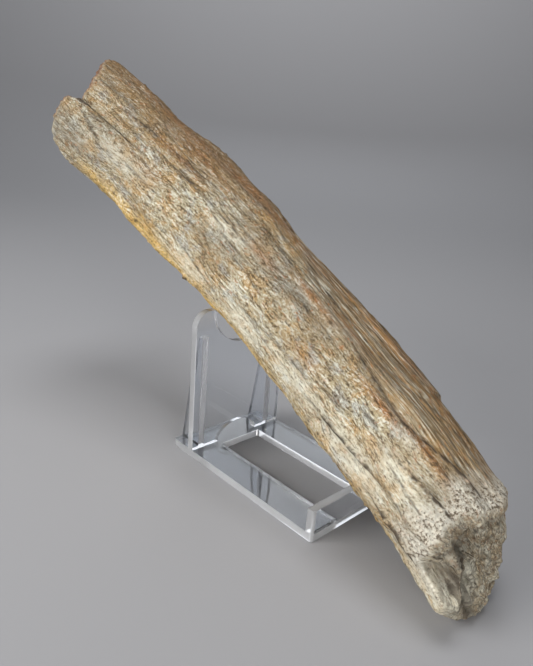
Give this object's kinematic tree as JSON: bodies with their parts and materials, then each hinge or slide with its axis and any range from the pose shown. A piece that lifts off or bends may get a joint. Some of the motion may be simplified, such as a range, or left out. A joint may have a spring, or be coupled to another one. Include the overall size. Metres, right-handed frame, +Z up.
{
  "type": "fossil mammoth humerus section on display stand",
  "caption": "Weathered section of fossil long bone with broken ends, leaning on a clear one-piece easel stand with a notched back, gussets and a front lip.",
  "frame": {"origin": "middle of the whole object's footprint, on the surface that the stand's base and the bone's lower end rest on", "axes": "+X from the stand's back to its front lip, the way the bone runs down; +Y towards the side that the bone bows to; +Z up"},
  "size_m": [0.2994, 0.0784, 0.2006],
  "materials": {
    "fossil_bone": "matt weathered bone with long fibres, cracks and pits",
    "clear_plastic": "clear polished moulding"
  },
  "bodies": {
    "root": {"humerus_section": "fossil_bone", "display_stand": "clear_plastic"}
  },
  "joints": []
}
